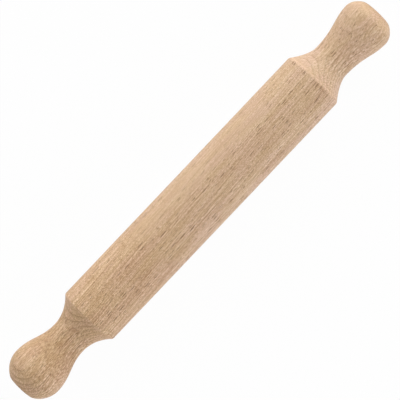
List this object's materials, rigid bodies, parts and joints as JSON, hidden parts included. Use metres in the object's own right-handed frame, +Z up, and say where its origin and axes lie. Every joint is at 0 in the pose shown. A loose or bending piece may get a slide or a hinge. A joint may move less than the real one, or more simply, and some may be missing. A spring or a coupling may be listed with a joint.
{
  "type": "rolling pin",
  "caption": "Revolving wooden rolling pin: a straight barrel turns on a hidden steel axle between turned handles with coved necks and round, flat-ended knobs.",
  "frame": {"origin": "on the table under the middle of the pin's overall length: z = 0 is the barrel's lowest line, y = 0 the pin's axis seen from above", "axes": "+X along the pin towards the end with the smaller knob, +Z up, the pin's axis level at half the barrel's diameter"},
  "size_m": [0.3962, 0.0506, 0.0507],
  "materials": {
    "beech_barrel": "fine-sanded bare beech with short dark ray flecks along the grain",
    "beech_handle": "fine-sanded bare beech, growth rings cut into loops by the turned curves",
    "axle_steel": "drawn bright steel rod with threaded ends",
    "bush_nylon": "moulded natural nylon",
    "washer_steel": "stamped, zinc plated",
    "insert_brass": "turned brass with a coarse outer thread"
  },
  "bodies": {
    "barrel": {"barrel": "beech_barrel", "left_bush": "bush_nylon", "right_bush": "bush_nylon"},
    "handles": {"axle": "axle_steel", "left_handle": "beech_handle", "right_handle": "beech_handle", "left_insert": "insert_brass", "right_insert": "insert_brass", "left_washer": "washer_steel", "right_washer": "washer_steel"}
  },
  "joints": [
    {"name": "handle_spin", "type": "hinge", "parent": "barrel", "child": "handles", "pos_m": [0.00245, 0, 0.02535], "axis": [1, 0, 0], "continuous": true}
  ]
}
